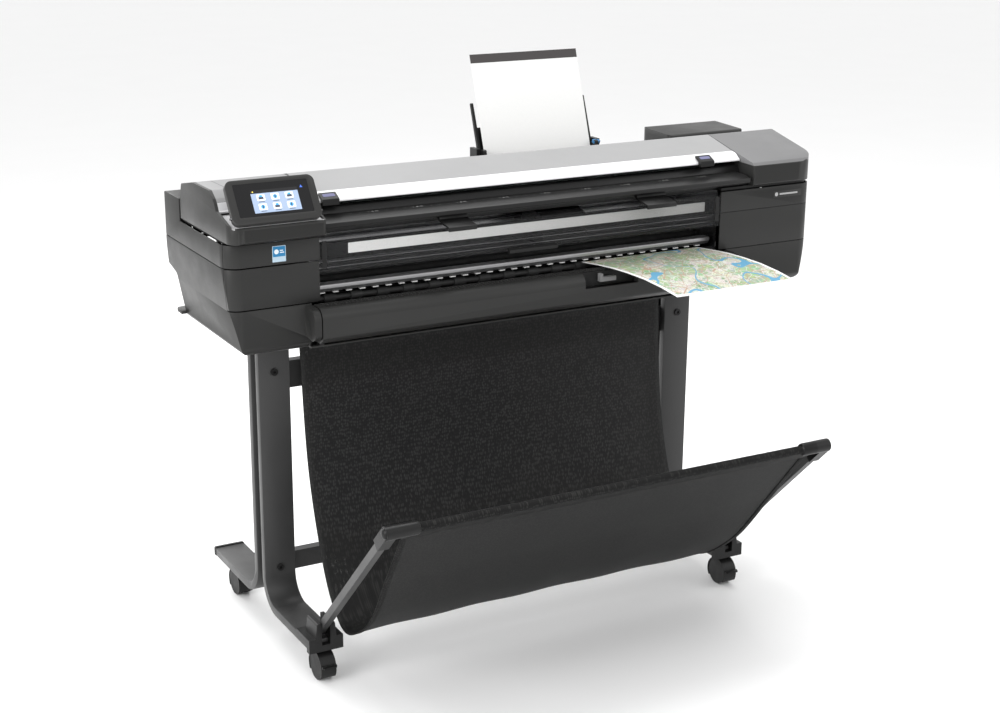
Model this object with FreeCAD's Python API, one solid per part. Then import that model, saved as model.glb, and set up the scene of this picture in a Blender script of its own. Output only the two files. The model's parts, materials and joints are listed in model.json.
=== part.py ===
import FreeCAD, Part
import math
import os

# Large format plotter with a sheet scanner on top, on a wheeled stand with a fabric catch basket.
# Millimetres. +Z is up, -Y is the operator's side, +X is to the operator's right.
# The origin is on the floor, at the middle of the whole machine's footprint.

# ---- driving dimensions ----
BODY_W = 1418.0          # overall width of the printer body
WALL = 3.0               # moulded cover thickness
SEAM = 1.5               # visible gap between two covers
GAP = 1.0                # clearance between covers that move and their neighbours
STAND_X = -31.5          # middle of the stand and of the print path
LEG_SPREAD = 1022.0      # distance between leg centres
LEG_W = 70.0             # width of a leg, along X
LEG_T = 18.0             # thickness of a leg member
LEG_GAP = 27.0           # gap between the front and rear members of one leg
LEG_Y = 155.5            # middle of a leg, along Y
FOOT_TOP = 92.0          # top of the feet
BEND_R = 55.0            # inner radius where a leg turns into its foot
FOOT_FRONT = -108.0      # front end of the front feet
FOOT_REAR = 451.0        # rear end of the rear feet
BODY_BOTTOM = 708.0
PAN_TOP = 801.0          # top edge of the bottom pan
DOOR_TOP = 886.0         # seam above the ink door
BODY_TOP = 933.0         # top edge of the front covers
HUMP_TOP = 980.0         # top of the rear cover
BODY_FRONT = -69.0
BODY_REAR = 297.0
HUMP_Y = 193.0           # where the raised rear cover begins
STEP_Z = 816.0           # underside of the rear overhang
STEP_Y = 243.0           # rear face just below the overhang
STEP_FOOT_Y = 262.0      # the same face at the bottom edge
CORNER_R = 34.0          # plan radius of the body's corners
PATH_LEFT = -513.5       # inner edge of the left housing, at the front
PATH_RIGHT = 451.5       # inner edge of the right housing, at the front
SIDE_T = 60.0            # how far the side covers wrap inwards at the rear
LID_SLOPE = 0.24         # rise of the scanner lid per mm towards the rear
RIDGE_Y = 102.0
RIDGE_Z = 1030.0
ROLL_W = 914.0           # media width, 36 inches
ROLL_Y = -66.0
ROLL_Z = 760.0
ROLL_R = 28.0
CASTER_R = 29.5
CASTER_TRAIL = 16.0
CASTER_FRONT_Y = -83.0   # swivel axis of the front casters
CASTER_REAR_Y = 394.0
BASKET_W = 940.0
BASKET_PIVOT_Y = -95.0
BASKET_PIVOT_Z = 108.0
BAR_Y = -434.0
BAR_Z = 449.0
FABRIC_T = 3.0
SHEET_W = 279.4          # width of the cut sheet in the feeder
PRINT_W = 305.0          # width of the printed sheet

LEFT_LEG = STAND_X - LEG_SPREAD / 2
RIGHT_LEG = STAND_X + LEG_SPREAD / 2
HALF_W = BODY_W / 2
SIDE_X = HALF_W - SIDE_T
FRONT_LEG_Y = LEG_Y - LEG_GAP / 2 - LEG_T     # front face of the front member
REAR_LEG_Y = LEG_Y + LEG_GAP / 2 + LEG_T      # rear face of the rear member

V = FreeCAD.Vector


# ---- building blocks ----
def box(x0, x1, y0, y1, z0, z1):
    return Part.makeBox(x1 - x0, y1 - y0, z1 - z0, V(x0, y0, z0))


def cylinder(radius, start, end):
    way = V(*end) - V(*start)
    return Part.makeCylinder(radius, way.Length, V(*start), way)


def arc_turn(before, point, after, radius):
    """Tangent points and middle point of a round corner in a flat outline."""
    back = (before - point).normalize()
    ahead = (after - point).normalize()
    half = back.getAngle(ahead) / 2
    reach = radius / math.tan(half)
    centre = point + (back + ahead).normalize() * (radius / math.sin(half))
    middle = centre + (point - centre).normalize() * radius
    return point + back * reach, middle, point + ahead * reach


def outline(points, place):
    """Closed wire through (u, v) or (u, v, corner radius) points; place(u, v) gives the vector."""
    spots = [place(point[0], point[1]) for point in points]
    turns = []
    for index, point in enumerate(points):
        if len(point) == 3:
            before = spots[index - 1]
            after = spots[(index + 1) % len(spots)]
            turns.append(arc_turn(before, spots[index], after, point[2]))
        else:
            turns.append((spots[index], None, spots[index]))
    edges = []
    for index, (start, middle, end) in enumerate(turns):
        if middle is not None:
            edges.append(Part.Arc(start, middle, end).toShape())
        following = turns[(index + 1) % len(turns)][0]
        if end.distanceToPoint(following) > 1e-6:
            edges.append(Part.LineSegment(end, following).toShape())
    return Part.Wire(edges)


def side_slab(points, x0, x1):
    """Outline in (y, z), pulled from x0 to x1."""
    wire = outline(points, lambda y, z: V(x0, y, z))
    return Part.Face(wire).extrude(V(x1 - x0, 0, 0))


def front_slab(points, y0, y1):
    """Outline in (x, z), pulled from y0 to y1."""
    wire = outline(points, lambda x, z: V(x, y0, z))
    return Part.Face(wire).extrude(V(0, y1 - y0, 0))


def plan_slab(points, z0, z1):
    """Outline in (x, y), pulled from z0 to z1."""
    wire = outline(points, lambda x, y: V(x, y, z0))
    return Part.Face(wire).extrude(V(0, 0, z1 - z0))


def strip(path, thickness, x0, x1):
    """A bent plate: the path's (y, z) points are its upper side, and it is thickened below them."""
    normals = []
    for (y0, z0), (y1, z1) in zip(path, path[1:]):
        length = math.hypot(y1 - y0, z1 - z0)
        normals.append(((z1 - z0) / length, -(y1 - y0) / length))
    lower = []
    for index, (y, z) in enumerate(path):
        near = normals[max(index - 1, 0)]
        far = normals[min(index, len(normals) - 1)]
        scale = thickness / (1 + near[0] * far[0] + near[1] * far[1])
        lower.append((y + (near[0] + far[0]) * scale, z + (near[1] + far[1]) * scale))
    return side_slab(list(path) + lower[::-1], x0, x1)


def tube_x(outer, inner, x0, x1, y, z):
    ring = cylinder(outer, (x0, y, z), (x1, y, z))
    return ring.cut(cylinder(inner, (x0 - 1, y, z), (x1 + 1, y, z)))


def fuse(first, *others):
    joined = first
    for other in others:
        joined = joined.fuse(other)
    return joined.removeSplitter()


def group(*shapes):
    """Several separate solids kept in one node."""
    return Part.makeCompound(shapes)


def turned(shape, degrees, y, z):
    """Turn about an X-wise line through (y, z)."""
    copy = shape.copy()
    copy.rotate(V(0, y, z), V(1, 0, 0), degrees)
    return copy


# ---- stand ----
def leg_member(middle_x, front):
    """Flat bar that comes down, bends and becomes a foot."""
    x0 = middle_x - LEG_W / 2
    foot_bottom = FOOT_TOP - LEG_T
    if front:
        face = FRONT_LEG_Y
        back = face + LEG_T
        end = FOOT_FRONT
    else:
        face = REAR_LEG_Y
        back = face - LEG_T
        end = FOOT_REAR - 7
    points = [
        (face, BODY_BOTTOM), (face, FOOT_TOP, BEND_R), (end, FOOT_TOP),
        (end, foot_bottom), (back, foot_bottom, BEND_R + LEG_T), (back, BODY_BOTTOM),
    ]
    return side_slab(points, x0, x0 + LEG_W)


def leg_spines():
    """Box sections that hold the two members of each leg apart."""
    front = FRONT_LEG_Y + LEG_T
    spines = [box(x - 18, x + 18, front, front + LEG_GAP, 112, BODY_BOTTOM) for x in (LEFT_LEG, RIGHT_LEG)]
    return group(*spines)


def cross_beam(z0, z1):
    """Steel channel from spine to spine, open at the back."""
    y0 = LEG_Y - 11
    beam = box(LEFT_LEG + 18, RIGHT_LEG - 18, y0, y0 + 22, z0, z1)
    hollow = box(LEFT_LEG + 22, RIGHT_LEG - 22, y0 + 3, y0 + 23, z0 + 3, z1 - 3)
    return beam.cut(hollow)


def leg_bolts():
    """Socket screws through the legs into the spines."""
    bolts = []
    for x in (LEFT_LEG, RIGHT_LEG):
        for z in (163.0, 607.0):
            for y, way in ((FRONT_LEG_Y, -1), (REAR_LEG_Y, 1)):
                head = cylinder(8, (x, y, z), (x, y + way * 4, z))
                socket = cylinder(3.5, (x, y + way * 1.5, z), (x, y + way * 5, z))
                bolts.append(head.cut(socket))
    return group(*bolts)


def foot_fittings():
    """Moulded basket brackets on the front feet and end caps on the rear feet."""
    parts = []
    for x in (LEFT_LEG, RIGHT_LEG):
        base = box(x - 38, x + 38, FOOT_FRONT - 14, FOOT_FRONT, 70, 100)
        deck = box(x - 38, x + 38, FOOT_FRONT, -52, FOOT_TOP, 100)
        tower = front_slab(
            [(x - 23, 100), (x - 20, 134, 5), (x + 20, 134, 5), (x + 23, 100)], FOOT_FRONT - 14, -70
        )
        slot = box(x - 9.5, x + 9.5, FOOT_FRONT - 15, -60, 84, 140)
        pivot = cylinder(
            4, (x - 15, BASKET_PIVOT_Y, BASKET_PIVOT_Z), (x + 15, BASKET_PIVOT_Y, BASKET_PIVOT_Z)
        )
        foot_end = box(x - 36, x + 36, FOOT_FRONT, -52, 60, FOOT_TOP)
        parts.append(fuse(base, deck, tower).cut(slot).cut(foot_end).fuse(pivot))
        cap = front_slab(
            [(x - 36, 72, 4), (x - 36, 94, 4), (x + 36, 94, 4), (x + 36, 72, 4)], FOOT_REAR - 7, FOOT_REAR
        )
        parts.append(cap)
    return group(*parts)


# ---- casters ----
def caster_fork(x, swivel_y, axle_y):
    """Hood over twin wheels, with its swivel stem."""
    z = CASTER_R
    shell = cylinder(CASTER_R + 4, (x - 17, axle_y, z), (x + 17, axle_y, z))
    shell = shell.cut(cylinder(CASTER_R + 1.5, (x - 18, axle_y, z), (x + 18, axle_y, z)))
    shell = shell.cut(box(x - 20, x + 20, axle_y - 60, axle_y + 60, -20, 12))
    web = cylinder(CASTER_R + 2, (x - 2.5, axle_y, z), (x + 2.5, axle_y, z))
    web = web.cut(box(x - 20, x + 20, axle_y - 60, axle_y + 60, -20, 14))
    web = web.cut(cylinder(4.1, (x - 4, axle_y, z), (x + 4, axle_y, z)))
    foot_bottom = FOOT_TOP - LEG_T
    boss = cylinder(11, (x, swivel_y, z + 24), (x, swivel_y, foot_bottom - 4))
    boss = boss.cut(cylinder(CASTER_R + 1.5, (x - 18, axle_y, z), (x + 18, axle_y, z)))
    stem = cylinder(6, (x, swivel_y, foot_bottom - 4), (x, swivel_y, foot_bottom - 0.4))
    return fuse(shell, web, boss, stem)


def caster_wheels(x, axle_y):
    """Two tyres on one axle."""
    z = CASTER_R
    axle = cylinder(4, (x - 15, axle_y, z), (x + 15, axle_y, z))
    wheels = [axle]
    for side in (-1, 1):
        disc = cylinder(CASTER_R, (x + side * 4, axle_y, z), (x + side * 16, axle_y, z))
        wheels.append(disc)
    return fuse(*wheels)


def brake_pedal(x, axle_y):
    """Foot lever at the front of a caster's hood."""
    z = CASTER_R + 8
    y = axle_y - CASTER_R - 5
    tread = box(x - 14, x + 14, y - 9, y - 0.5, z, z + 4)
    hub = cylinder(2.6, (x - 16, y - 2.5, z + 2), (x + 16, y - 2.5, z + 2))
    return fuse(tread, hub)


# ---- catch basket ----
def basket_tubes():
    """Two side rods and the front bar that holds the fabric open."""
    tubes = [cylinder(7, (LEFT_LEG + 26, BAR_Y, BAR_Z), (RIGHT_LEG - 26, BAR_Y, BAR_Z))]
    reach_y = BAR_Y - BASKET_PIVOT_Y
    reach_z = BAR_Z - BASKET_PIVOT_Z
    length = math.hypot(reach_y, reach_z)
    for x in (LEFT_LEG, RIGHT_LEG):
        rod = box(x - 8, x + 8, -8, 8, -12, length - 20)
        rod = rod.cut(cylinder(4.3, (x - 20, 0, 0), (x + 20, 0, 0)))
        rod.translate(V(0, BASKET_PIVOT_Y, BASKET_PIVOT_Z))
        lean = math.degrees(math.atan2(-reach_y, reach_z))
        tubes.append(turned(rod, lean, BASKET_PIVOT_Y, BASKET_PIVOT_Z))
    return group(*tubes)


def basket_elbows():
    """Moulded corners that join the rods to the front bar."""
    elbows = []
    for x, inward in ((LEFT_LEG, 1), (RIGHT_LEG, -1)):
        arm = cylinder(14, (x - inward * 10, BAR_Y, BAR_Z), (x + inward * 26, BAR_Y, BAR_Z))
        ball = Part.makeSphere(14, V(x - inward * 2, BAR_Y, BAR_Z))
        collar = box(x - 12, x + 12, -12, 12, -52, 2)
        collar = collar.cut(box(x - 8, x + 8, -8, 8, -60, -20))
        collar.translate(V(0, BAR_Y, BAR_Z))
        lean = math.degrees(math.atan2(BASKET_PIVOT_Y - BAR_Y, BAR_Z - BASKET_PIVOT_Z))
        elbows.append(fuse(arm, ball, turned(collar, lean, BAR_Y, BAR_Z)))
    return group(*elbows)


FABRIC_X0 = STAND_X - BASKET_W / 2
FABRIC_X1 = STAND_X + BASKET_W / 2
# Side view of the hanging fabric, from its top edge at the rear to the front bar.
BACK_PATH = [(119, 705), (119, 636), (92, 388), (34, 203), (-25, 112)]
TROUGH_PATH = [(-26, 110), (-58, 92), (-96, 84), (-140, 94), (-218, 164)]
FRONT_PATH = [(-219, 165), (-330, 300), (-427, 441)]


def fabric_panel(path):
    return strip(path, FABRIC_T, FABRIC_X0, FABRIC_X1)


# ---- printer body ----
def body_block(inset):
    """The body's outer form, or its inner form when inset by the wall."""
    half = HALF_W - inset
    low = BODY_BOTTOM + inset
    seen_from_front = [
        (-half + 30, low, 22), (half - 30, low, 22), (half - 8, PAN_TOP), (half, DOOR_TOP),
        (half, HUMP_TOP - inset), (-half, HUMP_TOP - inset), (-half, DOOR_TOP), (-half + 8, PAN_TOP),
    ]
    front = BODY_FRONT + inset
    rear = BODY_REAR - inset
    step = STEP_Y - inset
    radius = 20 - inset
    seen_from_side = [
        (front, low, radius), (front, BODY_TOP), (HUMP_Y, BODY_TOP), (HUMP_Y, HUMP_TOP - inset),
        (rear, HUMP_TOP - inset, radius), (rear, STEP_Z + 10 + inset, 8), (step, STEP_Z - 6 + inset, 14),
        (STEP_FOOT_Y - inset, low, 6),
    ]
    if inset > 0:
        seen_from_side[2] = (HUMP_Y + inset, BODY_TOP)
        seen_from_side[3] = (HUMP_Y + inset, HUMP_TOP - inset)
    corner = CORNER_R - inset
    seen_from_top = [(-half, front, corner), (half, front, corner), (half, rear, 15), (-half, rear, 15)]
    block = front_slab(seen_from_front, front, rear)
    block = block.common(side_slab(seen_from_side, -half, half))
    return block.common(plan_slab(seen_from_top, low, HUMP_TOP))


BODY_SHELL = body_block(0).cut(body_block(WALL))
COVER_REAR_Y = -47.0     # seam between the front corner covers and the side covers


def bottom_pan():
    """Bottom tray with tall sides and a flange at the rear, open where the roll sits."""
    middle = box(-HALF_W, HALF_W, BODY_FRONT - 1, HUMP_Y + 1, 700, PAN_TOP)
    rear = box(-HALF_W, HALF_W, HUMP_Y, BODY_REAR + 1, 700, STEP_Z - 5 - SEAM)
    left = box(-HALF_W - 1, -SIDE_X, COVER_REAR_Y, BODY_REAR + 1, 700, DOOR_TOP)
    right = box(SIDE_X, HALF_W + 1, COVER_REAR_Y, BODY_REAR + 1, 700, DOOR_TOP)
    pan = BODY_SHELL.common(fuse(middle, rear, left, right))
    flange_x = HALF_W - 14
    flange = plan_slab(
        [(-flange_x, 250), (flange_x, 250), (flange_x, 288, 12), (-flange_x, 288, 12)], 721, 728
    )
    roll_bay = box(PATH_LEFT - 20, PATH_RIGHT + 20, BODY_FRONT - 5, -10, 690, PAN_TOP + 2)
    bay_x0 = PATH_LEFT - 26
    bay_x1 = PATH_RIGHT + 26
    bay_wall = box(bay_x0, bay_x1, -10, -10 + WALL, BODY_BOTTOM + 1, PAN_TOP - 23)
    bay_floor = box(bay_x0, bay_x1, -76, -10, BODY_BOTTOM + 3, BODY_BOTTOM + 6)
    ends = [
        box(x, x + WALL, BODY_FRONT + 1, -10, BODY_BOTTOM + 4, PAN_TOP - 23)
        for x in (bay_x0, bay_x1 - WALL)
    ]
    end_cap = side_slab(
        [(BODY_FRONT, 736), (-106, 733, 8), (-118, 742, 8), (-118, 798, 22), (BODY_FRONT, 798)], -548, PATH_LEFT - 20
    )
    return fuse(pan.cut(roll_bay), flange, bay_wall, bay_floor, *ends, end_cap)


def left_side_cover():
    region = box(-HALF_W - 1, -SIDE_X, COVER_REAR_Y, BODY_REAR + 1, DOOR_TOP + SEAM, HUMP_TOP + 1)
    return BODY_SHELL.common(region)


def left_upper_cover():
    region = box(-HALF_W - 1, PATH_LEFT, BODY_FRONT - 1, COVER_REAR_Y - SEAM, DOOR_TOP + SEAM, BODY_TOP)
    return BODY_SHELL.common(region)


def ink_door():
    """Corner door that drops forward on a pin; a curled lip stiffens its top edge."""
    low = PAN_TOP + 2.5
    x1 = PATH_LEFT - SEAM
    region = front_slab(
        [(-HALF_W - 1, low), (x1, low, 8), (x1, DOOR_TOP - 1), (-HALF_W - 1, DOOR_TOP - 1)], BODY_FRONT - 1,
        COVER_REAR_Y - SEAM,
    )
    skin = BODY_SHELL.common(region)
    lip = box(-HALF_W + 40, x1 - 7, BODY_FRONT + WALL - 0.5, BODY_FRONT + 9, DOOR_TOP - 6, DOOR_TOP - 3)
    pin = cylinder(DOOR_PIN_R, (-HALF_W + 40, DOOR_PIN_Y, DOOR_PIN_Z), (x1 - 8, DOOR_PIN_Y, DOOR_PIN_Z))
    return fuse(skin, lip, pin)


DOOR_PIN_R = 2.0
DOOR_PIN_Y = -65.0
DOOR_PIN_Z = 807.0


def ink_cartridges():
    """Four cartridges standing side by side behind the ink door."""
    packs = []
    for number in range(4):
        x = -HALF_W + 24 + number * 33
        pack = box(x, x + 28, -38, 60, PAN_TOP + 8, DOOR_TOP - 8)
        grip = box(x + 6, x + 22, -44, -38, PAN_TOP + 30, DOOR_TOP - 30)
        packs.append(fuse(pack, grip))
    return group(*packs)


def right_cover():
    """Right housing: front and corner with a seam groove, a side band and a blank name plate."""
    corner = box(PATH_RIGHT, HALF_W + 1, BODY_FRONT - 1, COVER_REAR_Y - SEAM, PAN_TOP + SEAM, BODY_TOP)
    band = box(SIDE_X, HALF_W + 1, COVER_REAR_Y - SEAM - 1, BODY_REAR + 1, DOOR_TOP + SEAM, HUMP_TOP + 1)
    cover = BODY_SHELL.common(fuse(corner, band))
    groove_box = box(
        PATH_RIGHT - 1, HALF_W + 1, BODY_FRONT - 1, COVER_REAR_Y, DOOR_TOP - 0.8, DOOR_TOP + 0.8
    )
    groove = groove_box.common(body_block(0).cut(body_block(1.5)))
    plate = box(596, HALF_W - CORNER_R, BODY_FRONT - 1, BODY_FRONT + 1, 907, 922)
    return fuse(cover.cut(groove), plate)


SOCKET_X0 = -630.0


def rear_cover():
    region = box(-SIDE_X + SEAM, SIDE_X - SEAM, HUMP_Y, BODY_REAR + 1, STEP_Z - 5, HUMP_TOP + 1)
    shell = BODY_SHELL.common(region)
    vents = [box(x, x + 4, BODY_REAR - 10, BODY_REAR + 5, 860, 900) for x in range(-300, 300, 12)]
    sockets = box(SOCKET_X0, SOCKET_X0 + 90, BODY_REAR - 10, BODY_REAR + 5, 840, 880)
    return shell.cut(Part.makeCompound(vents)).cut(sockets)


def rear_sockets():
    """Power inlet and two data ports."""
    plate = box(SOCKET_X0 + 1, SOCKET_X0 + 89, BODY_REAR - 8, BODY_REAR - 2, 841, 879)
    x0 = SOCKET_X0 + 5
    x1 = x0 + 28
    inlet = front_slab([(x0, 846), (x0, 872), (x1 - 4, 872), (x1, 868), (x1, 850), (x1 - 4, 846)], 285, 300)
    ports = [box(x, x + 15, 285, 300, 852, 867) for x in (x1 + 9, x1 + 31)]
    return plate.cut(inlet).cut(Part.makeCompound(ports))


FEED_Y = 40.0
FEED_Z = 818.0
FEED_R = 11.0
EXIT_Y = -22.0
EXIT_Z = 794.0
EXIT_R = 9.0


def inner_frame():
    """Steel rear beam and end plates that carry the rail, rollers and scanner."""
    beam = box(PATH_LEFT, PATH_RIGHT, 120, 123, PAN_TOP, BODY_TOP)
    ends = []
    for x in (PATH_LEFT - 12, PATH_RIGHT + 9):
        plate = box(x, x + 3, -40, 190, 780, BODY_TOP)
        for y, z in ((FEED_Y, FEED_Z), (EXIT_Y, EXIT_Z)):
            plate = plate.cut(cylinder(6.1, (x - 5, y, z), (x + 8, y, z)))
        ends.append(plate)
    ties = [box(PATH_LEFT - 9, PATH_LEFT, 120, 123, PAN_TOP, BODY_TOP)]
    ties.append(box(PATH_RIGHT, PATH_RIGHT + 9, 120, 123, PAN_TOP, BODY_TOP))
    return fuse(beam, *ties, *ends)


def roller(y, z, radius, rings):
    """Shaft with a pulley outside the left end plate; rings are raised grip bands."""
    shaft = cylinder(6, (PATH_LEFT - 30, y, z), (PATH_RIGHT + 16, y, z))
    pulley = cylinder(9, (PATH_LEFT - 27, y, z), (PATH_LEFT - 17, y, z))
    parts = [shaft, pulley]
    if rings:
        for number in range(16):
            x = PATH_LEFT + 24 + number * 59
            parts.append(cylinder(radius, (x, y, z), (x + 26, y, z)))
    else:
        parts.append(cylinder(radius, (PATH_LEFT + 5, y, z), (PATH_RIGHT - 5, y, z)))
    return fuse(*parts)


def carriage_rail():
    """Round guide rod and a toothed-belt run above it, with their end blocks."""
    rod = cylinder(6, (PATH_LEFT - 9, 84, 878), (PATH_RIGHT + 9, 84, 878))
    belt = box(PATH_LEFT, PATH_RIGHT, 106, 107.5, 896, 904)
    belt_back = box(PATH_LEFT, PATH_RIGHT, 114, 115.5, 896, 904)
    return group(rod, belt, belt_back)


def carriage():
    """Print carriage that runs along the rod, with its four printheads."""
    x0 = 40.0
    x1 = x0 + 110
    block = side_slab([(10, 838), (10, 900, 12), (60, 914, 12), (102, 914), (102, 838)], x0, x1)
    bore = cylinder(6.1, (x0 - 5, 84, 878), (x1 + 5, 84, 878))
    heads = box(x0 + 10, x1 - 10, 18, 70, 831, 838)
    return fuse(block, heads).cut(bore)


def platen():
    """Ribbed media support, with the bright exit bar along its front edge."""
    deck = box(PATH_LEFT + 2, PATH_RIGHT - 2, -6, 118, 788, 800)
    ribs = [box(x, x + 2, -6, 22, 800, 806) for x in range(int(PATH_LEFT) + 20, int(PATH_RIGHT) - 10, 30)]
    return fuse(deck, *ribs)


def star_wheel_bar():
    """Bright rail that carries the star wheels above the exit roller."""
    rail = side_slab(
        [(-36, 818), (-36, 826, 3), (-14, 826), (-14, 810), (-29, 810)], PATH_LEFT + 4, PATH_RIGHT - 4
    )
    wheels = []
    for number in range(32):
        x = PATH_LEFT + 14 + number * 29.5
        wheels.append(cylinder(3.5, (x, -26, 808), (x + 12, -26, 808)))
    return fuse(rail, *wheels)


def window():
    """Smoked window, hung from its top edge between the two housings."""
    path = [
        (-66, DOOR_TOP - 30), (BODY_FRONT, DOOR_TOP - 22, 6), (BODY_FRONT, BODY_TOP - 7), (-60, BODY_TOP - 2),
        (-57, BODY_TOP - 2), (-66, BODY_TOP - 8), (-66, DOOR_TOP - 22, 3), (-60, DOOR_TOP - 30),
    ]
    pane = side_slab(path, PATH_LEFT + GAP + 1, PATH_RIGHT - GAP)
    pins = [
        cylinder(1.4, (PATH_LEFT + 0.5, -66.5, WINDOW_HINGE_Z), (PATH_LEFT + 6, -66.5, WINDOW_HINGE_Z)),
        cylinder(1.4, (PATH_RIGHT - 5, -66.5, WINDOW_HINGE_Z), (PATH_RIGHT - 0.5, -66.5, WINDOW_HINGE_Z)),
    ]
    return fuse(pane, *pins)


WINDOW_HINGE_Z = 918.0


def window_grip():
    """Finger grip at the middle of the window's lower edge."""
    profile = [(BODY_FRONT, 852), (BODY_FRONT - 7, 854, 2), (BODY_FRONT - 7, 861, 2), (BODY_FRONT, 865)]
    return side_slab(profile, STAND_X - 58, STAND_X + 58)


# ---- roll bay ----
COVER_X0 = -532.0
COVER_X1 = 474.0


ROLL_COVER_PIN_Y = -82.0
ROLL_COVER_PIN_Z = 728.0
RECESS_X0 = 72.0         # latch recess in the roll cover
RECESS_X1 = 205.0


def roll_cover():
    """Front cover of the roll bay: a bent shell that swings down about its lower edge."""
    outer = [(-80, 725), (-104, 727, 8), (-118, 738, 8), (-118, 800, 24), (-74, 800)]
    inner = [(-74, 797), (-115, 797, 21), (-115, 739, 6), (-103, 730, 6), (-80, 728)]
    shell = side_slab(outer + inner, COVER_X0 + GAP, COVER_X1)
    cap_points = [(-80, 726), (-104, 728, 8), (-117, 739, 8), (-117, 799, 23), (-76, 799)]
    caps = [side_slab(cap_points, x, x + 4) for x in (COVER_X0 + GAP, COVER_X1 - 4)]
    ribs = [box(x, x + 2, -96, -79, 797.5, 802) for x in range(int(COVER_X0) + 12, int(COVER_X1) - 8, 8)]
    recess = box(RECESS_X0, RECESS_X1, -125, -101, 768, 805)
    pocket = side_slab(cap_points, RECESS_X0 - 2, RECESS_X1 + 2)
    pocket = pocket.common(box(RECESS_X0 - 2, RECESS_X1 + 2, -118, -98.5, 766, 800)).cut(recess)
    clip = fuse(box(112, 152, -112, -100, 778, 787), box(112, 119, -112, -100, 778, 795))
    pins = [
        cylinder(2.4, (x, ROLL_COVER_PIN_Y, ROLL_COVER_PIN_Z), (x + 20, ROLL_COVER_PIN_Y, ROLL_COVER_PIN_Z))
        for x in (COVER_X0 + GAP, COVER_X1 - 20)
    ]
    return fuse(shell.cut(recess), *caps, *ribs, pocket, clip, *pins)


def roll_supports():
    """Cradles at both ends of the roll bay that carry the spindle."""
    cradles = []
    for x in (PATH_LEFT - 8, PATH_RIGHT - 2):
        side = [(-10, 714), (-76, 714), (-76, 734), (-96, 734), (-96, ROLL_Z + 14), (-10, ROLL_Z + 14)]
        block = side_slab(side, x, x + 10)
        cradles.append(block.cut(cylinder(8.1, (x - 5, ROLL_Y, ROLL_Z), (x + 20, ROLL_Y, ROLL_Z))))
    return group(*cradles)


def spindle():
    """Rod through the roll core, with a flange at each end of the media."""
    middle = (PATH_LEFT + PATH_RIGHT) / 2
    rod = cylinder(8, (PATH_LEFT - 18, ROLL_Y, ROLL_Z), (PATH_RIGHT + 14, ROLL_Y, ROLL_Z))
    hubs = []
    for side in (-1, 1):
        face = middle + side * ROLL_W / 2
        hubs.append(cylinder(ROLL_R + 1, (face, ROLL_Y, ROLL_Z), (face + side * 6, ROLL_Y, ROLL_Z)))
        hubs.append(cylinder(24, (face - side * 20, ROLL_Y, ROLL_Z), (face, ROLL_Y, ROLL_Z)))
    return fuse(rod, *hubs)


def paper_roll():
    middle = (PATH_LEFT + PATH_RIGHT) / 2
    x0 = middle - ROLL_W / 2
    x1 = middle + ROLL_W / 2
    return tube_x(ROLL_R, 24, x0, x1, ROLL_Y, ROLL_Z)


# ---- scanner ----
def lid_z(y):
    """Height of the lid's upper face at y, ahead of the ridge."""
    return RIDGE_Z + LID_SLOPE * (y - RIDGE_Y)


LID_X0 = -510.0
LID_X1 = 533.0
POD_FRONT = -104.0
PODS_X = (-HALF_W + 1, LID_X0 - GAP, LID_X1 + GAP, HALF_W + 6)


def scanner_base():
    """Lower scanner body between the two pods, with the glass well."""
    profile = [
        (-58, 942), (-58, 948.5), (-24, 956.5), (-22, 966), (-14, 978), (60, 988), (150, 995), (186, 993),
        (192, 942),
    ]
    body = side_slab(profile, LID_X0, LID_X1)
    hollow = side_slab(
        [(-50, 945), (-20, 952), (-9, 970), (60, 979), (180, 986), (188, 945)], LID_X0 + 3, LID_X1 - 3
    )
    well = side_slab([(0, 976), (50, 982), (50, 1000), (0, 1000)], LID_X0 + 40, LID_X1 - 40)
    return body.cut(hollow).cut(well)


def scanner_plinth():
    """Recessed neck between the printer and the scanner, set back behind the window."""
    half = HALF_W - 6
    front = BODY_FRONT + 6
    x0 = PATH_LEFT - 4
    x1 = PATH_RIGHT + 4
    return plan_slab(
        [(-half, front, 28), (x0, front), (x0, -45), (x1, -45), (x1, front), (half, front, 28), (half, 191),
         (-half, 191)],
        BODY_TOP + 0.3, BODY_TOP + 7.8,
    )


def scanner_glass():
    pane = side_slab([(0, 976), (50, 982), (50, 984.5), (0, 978.5)], LID_X0 + 40, LID_X1 - 40)
    return pane


def scanner_lid():
    """Sloping lid with a white front strip, hinged along its rear edge."""
    outer = [
        (-23, 990), (-23, 993), (-8, lid_z(-8) + 0.5, 4), (RIDGE_Y, RIDGE_Z, 20), (168, 1015, 8), (181, 1006),
        (168, 1003), (60, 1004), (-8, 988),
    ]
    slab = side_slab(outer, LID_X0 + GAP, LID_X1 - GAP)
    hollow = side_slab(
        [(0, 990), (60, 1003), (160, 1002), (RIDGE_Y, 1024), (0, 1002)], LID_X0 + 5, LID_X1 - 5
    )
    bores = [hinge_bore(x - 10, x + 10, LID_PIN_Y, LID_PIN_Z) for x in (LID_X0, LID_X1)]
    return slab.cut(hollow).cut(Part.makeCompound(bores))


def input_tray():
    """Feed deck ahead of the lid, with two document rests that jut from under its edge."""
    path = [(-24, 967), (-60, 966), (-83, 961)]
    deck = side_slab(path + [(-83, 951, 3), (-58, 949), (-24, 957)], LID_X0 + 1, PATH_RIGHT + 68)
    parts = [deck]
    for x0, x1 in ((-252, -188), (225, 300)):
        hook = [
            (-62, 953), (-62, 942), (-71, 938), (-112, 930, 2), (-112, 925), (-116, 925), (-116, 934, 3),
            (-74, 942, 3), (-70, 953),
        ]
        plate = side_slab(hook, x0, x1)
        parts.append(plate)
    return fuse(*parts)


LID_PIN_Y = 168.0
LID_PIN_Z = 1010.0
PIN_R = 2.0
BORE_R = 2.5


def hinge_pin(x0, x1, y, z):
    return cylinder(PIN_R, (x0, y, z), (x1, y, z))


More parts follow.
